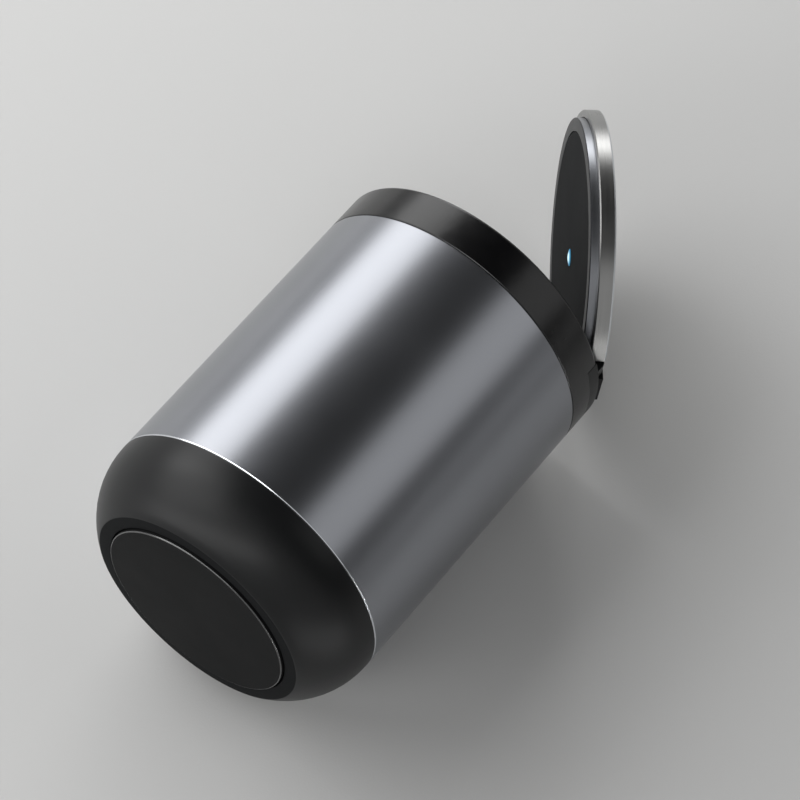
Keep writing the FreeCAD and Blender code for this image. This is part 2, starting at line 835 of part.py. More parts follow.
def hinge_leaf():
    """Plate under the cap that ends in the knuckle on the pin. The knuckle's square upper
    corner meets the bracket when the lid is fully open."""
    body = new_body("hinge_leaf")
    neck_drop = "hinge_level - leaf_under"
    neck = f"pivot_y - sqrt(knuckle_radius ^ 2 - ({neck_drop}) ^ 2)"
    profile = draw_outline(sketch_on(body, "section", "YZ_Plane"), [
        ("leaf_front", "leaf_under"),
        (neck, "leaf_under", "knuckle_radius", TURN_LEFT),
        ("pivot_y", "plug_depth", "knuckle_radius", TURN_LEFT),
        ("pivot_y + knuckle_radius", "hinge_level"),
        ("pivot_y + knuckle_radius", "lid_top"),
        ("lid_notch_y + leaf_gap", "lid_top"),
        ("lid_notch_y + leaf_gap", "plate_under"),
        ("leaf_front", "plate_under"),
    ])
    pad(body, profile, "2 * knuckle_half", symmetric=True)
    bore = draw_circle(
        sketch_on(body, "bore", "YZ_Plane"), "pin_radius + pin_run_fit", "pivot_y", "hinge_level")
    pocket(body, bore, "2 * ear_outer", symmetric=True)
    holes = sketch_on(body, "holes", "XY_Plane", lift="plate_under")
    for side in ("", "-"):
        draw_circle(holes, "screw_bore", f"{side}leaf_screw_x", "leaf_screw_y")
    pocket(body, holes, "leaf_thickness")
    return hang_on_lid(body)


def leaf_screws():
    """Two screws that hold the leaf under the cap's plate."""
    body = new_body("leaf_screws")
    section = sketch_on(
        body, "section", "XZ_Plane", across="leaf_screw_x", lift="-leaf_screw_y")
    screw_section(
        section, "leaf_under", "leaf_under - screw_head_height", "plate_under + leaf_screw_bite")
    mirror(body, revolve(body, section))
    return hang_on_lid(body)


def frame_screws():
    """Four screws, hidden behind the panel, that hold the frame to the cap's bosses."""
    body = new_body("frame_screws")
    section = sketch_on(body, "section", "XZ_Plane", across="boss_place", lift="-boss_place")
    screw_section(
        section, "panel_thickness + screw_head_height", "panel_thickness",
        "plate_under - frame_screw_tip_gap")
    repeat_round(body, BOSS_COUNT, revolve(body, section))
    return hang_on_lid(body)


def check_document():
    """Stop if any object of the document failed to build."""
    doc.recompute()
    for item in doc.Objects:
        if "Invalid" in item.State or "Error" in item.State:
            raise RuntimeError(f"{item.Label} failed: {item.State}")


def export(bodies):
    """Write each sub-part to a file of its own."""
    for body in bodies:
        shape = body.Shape
        if shape.isNull() or not shape.isValid() or not shape.Solids:
            raise RuntimeError(f"{body.Label} has no sound shape")
    os.makedirs("parts", exist_ok=True)
    for body in bodies:
        body.Shape.exportStep(f"parts/{body.Label}.step")
        print(f"{body.Label}: {len(body.Shape.Solids)} solids, {body.Shape.Volume:.1f} mm3")


SUB_PARTS = (
    base_cup, foot_pad, body_sleeve, collar, ash_liner,
    hinge_bracket, bracket_screws, hinge_pin, friction_washers,
    lid_shell, lid_frame, frame_screws, lid_panel, hinge_leaf, leaf_screws,
    led_lens, led_chip, circuit_board, chip_resistor,
    coin_cell, cell_spring, cell_contact, tilt_switch,
)

built = [make() for make in SUB_PARTS]
check_document()
export(built)
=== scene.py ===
"""Dresses the cup-holder ashtray: turned shells, lid, lamp and finishes on its frame."""

from __future__ import annotations

import json
import logging
import math
from dataclasses import dataclass
from enum import Enum
from typing import Any, Callable, Sequence

import bpy
from mathutils import Matrix, Vector

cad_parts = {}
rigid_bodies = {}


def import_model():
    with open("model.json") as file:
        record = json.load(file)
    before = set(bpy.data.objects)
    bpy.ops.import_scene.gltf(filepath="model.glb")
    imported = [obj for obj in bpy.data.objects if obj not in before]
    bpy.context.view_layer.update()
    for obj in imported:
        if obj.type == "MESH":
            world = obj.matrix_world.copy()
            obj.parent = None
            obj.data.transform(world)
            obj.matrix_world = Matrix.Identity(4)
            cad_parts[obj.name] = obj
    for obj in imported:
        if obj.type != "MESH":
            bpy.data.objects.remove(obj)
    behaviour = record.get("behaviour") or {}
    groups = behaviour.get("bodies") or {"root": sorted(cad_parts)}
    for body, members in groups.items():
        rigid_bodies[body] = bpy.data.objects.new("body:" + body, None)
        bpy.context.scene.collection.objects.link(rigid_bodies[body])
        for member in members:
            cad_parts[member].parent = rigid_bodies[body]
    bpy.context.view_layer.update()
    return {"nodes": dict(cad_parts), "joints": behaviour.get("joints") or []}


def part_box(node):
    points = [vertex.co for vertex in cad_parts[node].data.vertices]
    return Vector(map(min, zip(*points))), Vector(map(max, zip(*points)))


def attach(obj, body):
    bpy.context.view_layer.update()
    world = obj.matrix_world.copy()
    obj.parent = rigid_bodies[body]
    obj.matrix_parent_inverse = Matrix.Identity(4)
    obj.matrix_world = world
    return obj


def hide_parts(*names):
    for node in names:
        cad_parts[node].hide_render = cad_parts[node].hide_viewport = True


LOG = logging.getLogger("ashtray")

MM = 0.001
SEGMENTS = 160
ARC_STEPS = 10
AXIS_RADIUS = 0.01 * MM
MERGE_DISTANCE = 0.03 * MM
SMOOTH_ANGLE = math.radians(24)
FINE_DETAIL = 3.0
CLOUD_DETAIL = 2.0
FINE_SHARE = 0.5
NOISE_LOW = 0.3
NOISE_HIGH = 0.7
TURNED_MARKS_PER_RADIAN = 1.5
DRAWN_RADIUS = 30 * MM
DRAWN_STRETCH = 0.01

Point = tuple[float, float]
Triple = tuple[float, float, float]
FaceTest = Callable[[Vector], bool]


class Body(Enum):
    """The two rigid bodies that pieces ride on."""

    CASE = "case"
    LID = "lid"


class Pattern(Enum):
    """How the fine texture of a finish lies on the surface."""

    GRAIN = "grain"
    TURNED = "turned"
    DRAWN = "drawn"


def linear(hex_code: str) -> tuple[float, float, float, float]:
    """Turn an sRGB hex colour to a linear colour.

    Args:
        hex_code: Six hex digits with a leading hash.

    Returns:
        The linear colour with an alpha of 1.
    """
    channels = [int(hex_code[start:start + 2], 16) / 255 for start in (1, 3, 5)]
    red, green, blue = (
        c / 12.92 if c <= 0.04045 else ((c + 0.055) / 1.055) ** 2.4 for c in channels)
    return red, green, blue, 1.0


def add_node(
        tree: bpy.types.NodeTree, kind: str, settings: dict[str, Any] | None = None,
        inputs: dict[Any, Any] | None = None) -> bpy.types.Node:
    """Add a node with its settings, socket values and links.

    Args:
        tree: The node tree that gets the node.
        kind: The node's type name.
        settings: Attributes of the node.
        inputs: A value, or the output socket to link, for each input's name or index.

    Returns:
        The new node.
    """
    node = tree.nodes.new(kind)
    for name, setting in (settings or {}).items():
        setattr(node, name, setting)
    for name, given in (inputs or {}).items():
        if isinstance(given, bpy.types.NodeSocket):
            tree.links.new(given, node.inputs[name])
        else:
            node.inputs[name].default_value = given
    return node


@dataclass(frozen=True)
class Finish:
    """A surface finish with a fine texture of a real size.

    Attributes:
        name: What the material is.
        dark: Colour in the hollows of the texture.
        light: Colour on its high spots.
        roughness: Mean roughness.
        roughness_swing: How far the roughness varies either way.
        metallic: 1 for bare metal, 0 for the rest.
        ior: Index of refraction of a non-metal.
        pattern: How the texture lies.
        grain_mm: Size of one grain or the spacing of the marks.
        relief: Strength of the bump.
        clouds_mm: Size of the slow variation in colour.
        anisotropic: How far the gloss is drawn out along the marks.
    """

    name: str
    dark: str
    light: str
    roughness: float
    roughness_swing: float = 0.04
    metallic: float = 0.0
    ior: float = 1.5
    pattern: Pattern = Pattern.GRAIN
    grain_mm: float = 0.3
    relief: float = 0.05
    clouds_mm: float = 14.0
    anisotropic: float = 0.0

    def texture_vector(
            self, tree: bpy.types.NodeTree, turned: Matrix | None) -> bpy.types.NodeSocket:
        """Return the coordinates that the fine texture reads, one unit to a grain.

        Args:
            tree: The material's node tree.
            turned: The placement of a tilted piece, which the pattern follows.

        Returns:
            An output socket with the scaled coordinates.
        """
        source = add_node(tree, "ShaderNodeTexCoord").outputs["Object"]
        if turned is not None:
            upright = turned.inverted()
            source = add_node(tree, "ShaderNodeMapping", inputs={
                "Vector": source,
                "Location": upright.to_translation(),
                "Rotation": upright.to_euler(),
            }).outputs["Vector"]
        per_grain = 1 / (self.grain_mm * MM)
        if self.pattern is Pattern.GRAIN:
            scale = (per_grain, per_grain, per_grain)
            return add_node(tree, "ShaderNodeVectorMath", {"operation": "MULTIPLY"}, {
                0: source, 1: scale}).outputs["Vector"]
        parts = add_node(tree, "ShaderNodeSeparateXYZ", inputs={0: source})
        flat = add_node(tree, "ShaderNodeCombineXYZ", inputs={
            "X": parts.outputs["X"], "Y": parts.outputs["Y"]})
        radius = add_node(
            tree, "ShaderNodeVectorMath", {"operation": "LENGTH"}, {0: flat.outputs[0]})
        angle = add_node(tree, "ShaderNodeMath", {"operation": "ARCTAN2"}, {
            0: parts.outputs["Y"], 1: parts.outputs["X"]})
        ring = add_node(tree, "ShaderNodeCombineXYZ", inputs={
            "X": radius.outputs["Value"], "Y": angle.outputs[0], "Z": parts.outputs["Z"]})
        # Turned marks run round the axis and drawn marks run along it.
        if self.pattern is Pattern.TURNED:
            around, along = TURNED_MARKS_PER_RADIAN, per_grain
        else:
            around, along = per_grain * DRAWN_RADIUS, per_grain * DRAWN_STRETCH
        return add_node(tree, "ShaderNodeVectorMath", {"operation": "MULTIPLY"}, {
            0: ring.outputs[0], 1: (per_grain, around, along)}).outputs["Vector"]

    def build(self, turned: Matrix | None = None) -> bpy.types.Material:
        """Make the material.

        Args:
            turned: The placement of a tilted piece, which the pattern follows.

        Returns:
            A material with colour, roughness and bump from its nodes.
        """
        material = bpy.data.materials.new(self.name)
        material.use_nodes = True
        tree = material.node_tree
        shader = tree.nodes["Principled BSDF"]
        fine = add_node(tree, "ShaderNodeTexNoise", inputs={
            "Vector": self.texture_vector(tree, turned), "Scale": 1.0,
            "Detail": FINE_DETAIL})
        position = add_node(tree, "ShaderNodeTexCoord").outputs["Object"]
        clouds = add_node(tree, "ShaderNodeTexNoise", inputs={
            "Vector": position, "Scale": 1 / (self.clouds_mm * MM), "Detail": CLOUD_DETAIL})
        blend = add_node(tree, "ShaderNodeMath", {"operation": "MULTIPLY_ADD"}, {
            0: clouds.outputs["Fac"], 1: 1 - FINE_SHARE,
            2: add_node(tree, "ShaderNodeMath", {"operation": "MULTIPLY"}, {
                0: fine.outputs["Fac"], 1: FINE_SHARE}).outputs[0]})
        colour = add_node(tree, "ShaderNodeMix", {"data_type": "RGBA"}, {
            0: blend.outputs[0], 6: linear(self.dark), 7: linear(self.light)})
        roughness = add_node(tree, "ShaderNodeMapRange", inputs={
            "Value": blend.outputs[0], "From Min": NOISE_LOW, "From Max": NOISE_HIGH,
            "To Min": self.roughness - self.roughness_swing,
            "To Max": self.roughness + self.roughness_swing})
        bump = add_node(tree, "ShaderNodeBump", inputs={
            "Strength": self.relief, "Distance": self.grain_mm * MM,
            "Height": fine.outputs["Fac"]})
        tree.links.new(colour.outputs[2], shader.inputs["Base Color"])
        tree.links.new(roughness.outputs["Result"], shader.inputs["Roughness"])
        tree.links.new(bump.outputs["Normal"], shader.inputs["Normal"])
        shader.inputs["Metallic"].default_value = self.metallic
        if self.metallic == 0:
            shader.inputs["IOR"].default_value = self.ior
        shader.inputs["Anisotropic"].default_value = self.anisotropic
        return material


# Anodised aluminium, bead blasted: an even satin metal with a fine frosty grain
SLEEVE_SATIN = Finish(
    "anodised_aluminium_satin", "#8b8d92", "#989a9f", 0.30, 0.02, 1.0,
    grain_mm=0.18, relief=0.03, clouds_mm=25)
# Aluminium cut with a diamond tool: a mirror-bright line along an edge
CUT_EDGE = Finish(
    "diamond_cut_aluminium", "#c8cbd0", "#dfe2e6", 0.14, 0.03, 1.0,
    pattern=Pattern.TURNED, grain_mm=0.08, relief=0.03)
# Black ABS from a lightly sparked mould: soft, wide highlights with a fine tooth
BASE_ABS = Finish(
    "moulded_black_abs", "#0c0d0e", "#121314", 0.38, 0.04, ior=1.34, grain_mm=0.22,
    relief=0.06)
# Charcoal silicone pad: flat and slightly dusty
PAD_SILICONE = Finish(
    "charcoal_silicone", "#0d0d0e", "#131414", 0.62, 0.06, ior=1.2, grain_mm=0.3,
    relief=0.09)
# The pad's moulded edge, coloured lighter than the pad and given a high gloss: a painted
# highlight, a fine bright line
PAD_PAINTED_HIGHLIGHT = Finish(
    "pad_edge_painted_highlight", "#2a2a2b", "#343435", 0.2, 0.03, ior=1.9, grain_mm=0.3,
    relief=0.02)
# Gloss black ABS: deep, with the faint waviness of a polished mould
COLLAR_GLOSS = Finish(
    "gloss_black_abs", "#060607", "#09090a", 0.25, 0.03, ior=1.46, grain_mm=2.5,
    relief=0.01)
# Turned aluminium, anodised gunmetal: satin with fine rings round the lid's axis
LID_GUNMETAL = Finish(
    "gunmetal_turned_aluminium", "#858584", "#979796", 0.30, 0.05, 1.0,
    pattern=Pattern.TURNED, grain_mm=0.12, relief=0.05, anisotropic=0.3)
# Dark satin chrome on ABS: metal with soft edges
PLUG_CHROME = Finish(
    "satin_chromed_abs", "#7a7c80", "#888a8e", 0.33, 0.02, 1.0, grain_mm=1.5, relief=0.003)
# The same chrome, blackened on the face round the panel; on its rounded edge the dark
# colour is painted shade that holds back the edge's highlight
PLUG_FACE_AND_SHADED_EDGE = Finish(
    "black_chromed_abs_with_shaded_edge", "#242527", "#2d2e30", 0.4, 0.03, 1.0, grain_mm=1.5, relief=0.003)
# Matt black ABS of the lid's panel and the base's land: flat charcoal, fine even tooth
PANEL_MATT = Finish(
    "matt_black_abs", "#121314", "#18191a", 0.75, 0.05, ior=1.18, grain_mm=0.25,
    relief=0.06)
# Deep-drawn stainless steel: satin with faint marks along the draw
LINER_STEEL = Finish(
    "drawn_stainless_steel", "#8d8e90", "#a3a4a6", 0.3, 0.05, 1.0,
    pattern=Pattern.DRAWN, grain_mm=0.25, relief=0.04, anisotropic=0.3)
# Ground and plated steel of the small parts: bright, with fine even marks
PIN_STEEL = Finish(
    "ground_steel", "#8f9093", "#a9aaad", 0.24, 0.05, 1.0, grain_mm=0.15, relief=0.03)
# Blackened zinc of the hinge: dull metal with a faint cast grain
LEAF_BLACK = Finish(
    "blackened_zinc", "#1c1c1e", "#29292b", 0.36, 0.05, 0.8, grain_mm=0.25, relief=0.05)
# Glass-epoxy board under a green mask: smooth and half glossy
BOARD_MASK = Finish(
    "green_solder_mask", "#0c3b22", "#13492c", 0.35, 0.04, grain_mm=0.5, relief=0.05)
# Rolled brass of the contacts: warm satin metal
CONTACT_BRASS = Finish(
    "rolled_brass", "#b08d45", "#c4a25a", 0.3, 0.05, 1.0, grain_mm=0.2, relief=0.03)
# Moulded chip cases: pale and dull
CHIP_CASE = Finish(
    "moulded_chip_case", "#b9b6ad", "#c9c6bd", 0.5, 0.05, grain_mm=0.2, relief=0.04)


@dataclass(frozen=True)
class LampGlow:
    """Acrylic lens of the small lamp, white at its core and deep blue at its edge.

    Attributes:
        core: Colour at the middle.
        edge: Colour at the rim.
        strength: Brightness of the glow.
        core_share: Share of the radius that the core fills.
        roughness: Roughness of the frosted lens.
        ior: Index of refraction.
    """

    core: str = "#dcfaff"
    edge: str = "#045a7a"
    strength: float = 1.3
    core_share: float = 0.15
    roughness: float = 0.4
    ior: float = 1.2

    def build(self, centre: Vector, radius: float) -> bpy.types.Material:
        """Make the glowing material.

        Args:
            centre: Middle of the lens in the part's frame.
            radius: Radius of the lens.

        Returns:
            A material that fades from the core's colour to the edge's.
        """
        material = bpy.data.materials.new("glowing_acrylic_lens")
        material.use_nodes = True
        tree = material.node_tree
        shader = tree.nodes["Principled BSDF"]
        position = add_node(tree, "ShaderNodeTexCoord").outputs["Object"]
        away = add_node(tree, "ShaderNodeVectorMath", {"operation": "DISTANCE"}, {
            0: position, 1: centre})
        fade = add_node(tree, "ShaderNodeMapRange", {"interpolation_type": "SMOOTHSTEP"}, {
            "Value": away.outputs["Value"], "From Min": self.core_share * radius,
            "From Max": radius, "To Min": 0.0, "To Max": 1.0})
        colour = add_node(tree, "ShaderNodeMix", {"data_type": "RGBA"}, {
            0: fade.outputs["Result"], 6: linear(self.core), 7: linear(self.edge)})
        tree.links.new(colour.outputs[2], shader.inputs["Emission Color"])
        shader.inputs["Base Color"].default_value = linear(self.edge)
        shader.inputs["Emission Strength"].default_value = self.strength
        shader.inputs["Roughness"].default_value = self.roughness
        shader.inputs["IOR"].default_value = self.ior
        return material


def arc(centre: Point, radius: float, start_deg: float, end_deg: float) -> list[Point]:
    """Return points along an arc of a half section.

    Args:
        centre: Centre of the arc as radius and height.
        radius: Radius of the arc.
        start_deg: Angle of the first point.
        end_deg: Angle of the last point.

    Returns:
        The arc's points, both ends included.
    """
    angles = [
        math.radians(start_deg + (end_deg - start_deg) * step / ARC_STEPS)
        for step in range(ARC_STEPS + 1)]
    return [
        (centre[0] + radius * math.cos(angle), centre[1] + radius * math.sin(angle))
        for angle in angles]


def turn(name: str, section: Sequence[Point]) -> bpy.types.Object:
    """Turn a closed half section about Z by pulling one ring out along it.

    Args:
        name: Name of the new piece.
        section: Radius and height of each point, anticlockwise in the half plane.

    Returns:
        The closed, smooth-shaded piece.
    """
    bpy.ops.object.select_all(action="DESELECT")
    points = [(max(radius, AXIS_RADIUS), height) for radius, height in section]
    on_axis = section[0][0] == 0
    first = points[0]
    bpy.ops.mesh.primitive_circle_add(
        vertices=SEGMENTS, radius=first[0], location=(0, 0, first[1]), fill_type="NOTHING")
    piece = bpy.context.object
    piece.name = name
    bpy.ops.object.transform_apply(location=True, rotation=True, scale=True)
    bpy.ops.object.mode_set(mode="EDIT")
    bpy.ops.mesh.select_all(action="SELECT")
    path = points[1:] if on_axis else [*points[1:], first]
    for before, here in zip([first, *path], path):
        bpy.ops.mesh.extrude_region_move(
            TRANSFORM_OT_translate={"value": (0, 0, here[1] - before[1])})
        growth = here[0] / before[0]
        bpy.ops.transform.resize(value=(growth, growth, 1), center_override=(0, 0, 0))
    bpy.ops.mesh.select_all(action="SELECT")
    bpy.ops.mesh.remove_doubles(threshold=MERGE_DISTANCE)
    bpy.ops.mesh.normals_make_consistent(inside=False)
    bpy.ops.object.mode_set(mode="OBJECT")
    bpy.ops.object.shade_smooth_by_angle(angle=SMOOTH_ANGLE)
    return piece


def cut_notch(
        piece: bpy.types.Object, low: Sequence[float], high: Sequence[float]) -> None:
    """Cut a box out of a piece.

    Args:
        piece: The piece that is cut.
        low: Lowest corner of the box.
        high: Highest corner of the box.
    """
    bpy.ops.object.select_all(action="DESELECT")
    middle = [(a + b) / 2 for a, b in zip(low, high)]
    bpy.ops.mesh.primitive_cube_add(size=1, location=middle)
    cutter = bpy.context.object
    cutter.scale = [b - a for a, b in zip(low, high)]
    bpy.ops.object.transform_apply(location=True, rotation=True, scale=True)
    modifier = piece.modifiers.new("notch", "BOOLEAN")
    modifier.operation = "DIFFERENCE"
    modifier.solver = "EXACT"
    modifier.object = cutter
    bpy.context.view_layer.objects.active = piece
    bpy.ops.object.modifier_apply(modifier=modifier.name)
    bpy.data.objects.remove(cutter)
    bpy.ops.object.select_all(action="DESELECT")
    piece.select_set(True)
    bpy.ops.object.shade_smooth_by_angle(angle=SMOOTH_ANGLE)


def leaning(low: float, high: float) -> FaceTest:
    """Return a test for faces whose normal's height lies between two values."""
    return lambda normal: low < normal.z < high


# Faces that get a second finish, picked before their piece is tilted
FLAT_BELOW = leaning(-math.inf, -0.95)
# Picks the plug's face and its rounded edge, whose dark colour is painted shade
BELOW_WITH_SHADED_EDGE = leaning(-math.inf, -0.2)
UPPER_BEVEL = leaning(0.3, 0.9)
LOWER_BEVEL = leaning(-0.9, -0.3)
# Picks the pad's rounded edge, which gets a painted highlight
PAINTED_HIGHLIGHT_ROUNDING = leaning(-0.99, -0.1)


def paint(
        piece: bpy.types.Object, material: bpy.types.Material,
        wanted: FaceTest | None = None) -> None:
    """Give a piece a material, on all its faces or on those that a test picks out.

    Args:
        piece: The piece that is painted.
        material: The material.
        wanted: Test of a face's normal.
    """
    piece.data.materials.append(material)
    if wanted is None:
        return
    index = len(piece.data.materials) - 1
    for face in piece.data.polygons:
        if wanted(face.normal):
            face.material_index = index


def place(
        piece: bpy.types.Object, body: Body, node: str,
        turned: Matrix | None = None) -> bpy.types.Object:
    """Put a piece in the place of a node of the frame.

    Args:
        piece: The new piece.
        body: The body that it rides on.
        node: The node that it stands for.
        turned: Placement to apply first.

    Returns:
        The same piece.
    """
    if turned is not None:
        piece.matrix_world = turned
        bpy.ops.object.select_all(action="DESELECT")
        piece.select_set(True)
        bpy.context.view_layer.objects.active = piece
        bpy.ops.object.transform_apply(location=True, rotation=True, scale=True)
    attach(piece, body.value)
    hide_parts(node)
    LOG.info("%s stands for %s", piece.name, node)
    return piece


@dataclass
class Case:
    """Base, pad, sleeve, collar and liner, all turned about the body's axis.

    Attributes:
        crease_radius: Radius of the crease round the base's flat land.
        crease_ease_deg: Angle by which the shoulder's arc starts clear of that crease.
        land_height: Height of that land above the pad's underside.
        strip: Straight strip between the base's shoulder and the sleeve.
        pad_gap: Gap round the pad.
        pad_bevel: Rounding of the pad's lower edge.
        sleeve_wall: Wall of the sleeve.
        sleeve_chamfer: Bright chamfer at each end of the sleeve.
        seam_edge: Fine rounding where base and collar meet the sleeve.
        barrel_wall: Wall of the barrel inside the sleeve.
        barrel_fit: Gap between barrel and sleeve.
        floor: Height of the base's inner floor.
        mouth_radius: Radius of the collar's mouth.
        mouth_edge: Rounding of the mouth's edge.
        collar_edge: Rounding of the collar's upper edge.
        ledge_drop: Depth of the liner's ledge below the collar's top.
        ledge_width: Width of that ledge.
        ledge_thickness: Thickness of that ledge.
        liner_wall: Sheet thickness of the liner.
        liner_bend: Bend between the liner's wall and its flange.
        liner_corner: Rounding of the liner's foot.
        notch_half: Half width of the hinge notch.
        notch_depth: Depth of the hinge notch.
    """

    crease_radius: float = 27.6 * MM
    crease_ease_deg: float = 0.5
    land_height: float = 0.7 * MM
    strip: float = 0.6 * MM
    pad_gap: float = 0.3 * MM
    pad_bevel: float = 0.3 * MM
    sleeve_wall: float = 1.2 * MM
    sleeve_chamfer: float = 0.3 * MM
    seam_edge: float = 0.15 * MM
    barrel_wall: float = 1.7 * MM
    barrel_fit: float = 0.1 * MM
    floor: float = 3.7 * MM
    mouth_radius: float = 32.9 * MM
    mouth_edge: float = 0.3 * MM
    collar_edge: float = 0.8 * MM
    ledge_drop: float = 3.6 * MM
    ledge_width: float = 1.6 * MM
    ledge_thickness: float = 2.2 * MM
    liner_wall: float = 0.8 * MM
    liner_bend: float = 1.0 * MM
    liner_corner: float = 10.0 * MM
    notch_half: float = 12.3 * MM
    notch_depth: float = 3.5 * MM

    def __post_init__(self) -> None:
        """Read the body's main sizes from the frame."""
        sleeve_low, sleeve_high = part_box("body_sleeve")
        self.radius: float = sleeve_high[0]
        self.sleeve_low: float = sleeve_low[2]
        self.sleeve_high: float = sleeve_high[2]
        self.top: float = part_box("collar")[1][2]
        self.pad_radius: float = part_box("foot_pad")[1][0]
        self.pad_top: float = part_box("foot_pad")[1][2]
        self.barrel_top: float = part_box("base_cup")[1][2]
        self.sleeve_inner: float = self.radius - self.sleeve_wall
        self.ledge_top: float = self.top - self.ledge_drop

    def build_base(self) -> None:
        """Model the rounded base with its barrel and dress it."""
        shoulder_top = self.sleeve_low - self.strip
        inset = self.radius - self.crease_radius
        rise = shoulder_top - self.land_height
        bend = (inset ** 2 + rise ** 2) / (2 * inset)
        centre = (self.radius - bend, shoulder_top)
        start = math.degrees(math.asin(-rise / bend))
        barrel = self.sleeve_inner - self.barrel_fit
        hollow = bend - (self.radius - barrel + self.barrel_wall)
        hollow_end = math.degrees(math.asin((self.floor - shoulder_top) / hollow))
        pocket = self.pad_radius + self.pad_gap
        edge = self.seam_edge
        piece = turn("base_shell", [
            (0, self.pad_top),
            (pocket, self.pad_top),
            (pocket, self.land_height + edge),
            (pocket + edge, self.land_height),
            (self.crease_radius - edge, self.land_height),
            *arc(centre, bend, start + self.crease_ease_deg, 0),
            (self.radius, self.sleeve_low - edge),
            (self.radius - edge, self.sleeve_low),
            (barrel, self.sleeve_low),
            (barrel, self.barrel_top),
            (barrel - self.barrel_wall, self.barrel_top),
            *arc(centre, hollow, 0, hollow_end),
            (0, self.floor),
        ])
        paint(piece, BASE_ABS.build())
        paint(piece, PANEL_MATT.build(), FLAT_BELOW)
        place(piece, Body.CASE, "base_cup")

    def build_pad(self) -> None:
        """Model the foot pad with a rounded lower edge, painted lighter as a highlight, and
        dress it.
        """
        bevel = self.pad_bevel
        piece = turn("base_pad", [
            (0, 0),
            *arc((self.pad_radius - bevel, bevel), bevel, -90, 0),
            (self.pad_radius, self.pad_top),
            (0, self.pad_top),
        ])
        paint(piece, PAD_SILICONE.build())
        # The rounded edge is coloured lighter than the pad: a painted highlight line
        paint(piece, PAD_PAINTED_HIGHLIGHT.build(), PAINTED_HIGHLIGHT_ROUNDING)
        place(piece, Body.CASE, "foot_pad")

    def build_sleeve(self) -> None:
        """Model the sleeve and polish the chamfers at its ends."""
        chamfer = self.sleeve_chamfer
        piece = turn("satin_sleeve", [
            (self.sleeve_inner, self.sleeve_low),
            (self.radius - chamfer, self.sleeve_low),
            (self.radius, self.sleeve_low + chamfer),
            (self.radius, self.sleeve_high - chamfer),
            (self.radius - chamfer, self.sleeve_high),
            (self.sleeve_inner, self.sleeve_high),
        ])
        paint(piece, SLEEVE_SATIN.build())
        paint(piece, CUT_EDGE.build(), lambda normal: (
            UPPER_BEVEL(normal) or LOWER_BEVEL(normal)))
        place(piece, Body.CASE, "body_sleeve")

    def build_collar(self) -> None:
        """Model the collar with its ledge and hinge notch and dress it."""
        ledge_bottom = self.ledge_top - self.ledge_thickness
        ledge_radius = self.mouth_radius - self.ledge_width
        edge, lip = self.collar_edge, self.mouth_edge
        piece = turn("gloss_collar", [
            (self.sleeve_inner, self.sleeve_high),
            (self.radius - self.seam_edge, self.sleeve_high),
            (self.radius, self.sleeve_high + self.seam_edge),
            *arc((self.radius - edge, self.top - edge), edge, 0, 90),
            *arc((self.mouth_radius + lip, self.top - lip), lip, 90, 180),
            (self.mouth_radius, self.ledge_top),
            (ledge_radius, self.ledge_top),
            (ledge_radius, ledge_bottom),
            (self.sleeve_inner, ledge_bottom),
        ])
        cut_notch(
            piece, (-self.notch_half, 0, self.top - self.notch_depth),
            (self.notch_half, 2 * self.radius, 2 * self.top))
        paint(piece, COLLAR_GLOSS.build())
        place(piece, Body.CASE, "collar")

    def build_liner(self) -> None:
        """Model the drawn liner with its bent flange and dress it."""
        low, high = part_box("ash_liner")
        flange = high[0]
        wall, bend = self.liner_wall, self.liner_bend
        outer = self.mouth_radius - self.ledge_width - self.pad_gap
        inner = outer - wall
        corner = (outer - self.liner_corner, low[2] + self.liner_corner)
        lip = wall / 2
        piece = turn("drawn_liner", [
            (0, low[2]),
            *arc(corner, self.liner_corner, -90, 0),
            (outer, self.ledge_top),
            *arc((flange - lip, self.ledge_top + lip), lip, -90, 90),
            *arc((inner + bend, high[2] - bend), bend, 90, 180),
            *arc(corner, self.liner_corner - wall, 0, -90),
            (0, low[2] + wall),
        ])
        paint(piece, LINER_STEEL.build())
        place(piece, Body.CASE, "ash_liner")

    def build(self) -> None:
        """Make every piece of the case."""
        self.build_base()
        self.build_pad()
        self.build_sleeve()
        self.build_collar()
        self.build_liner()


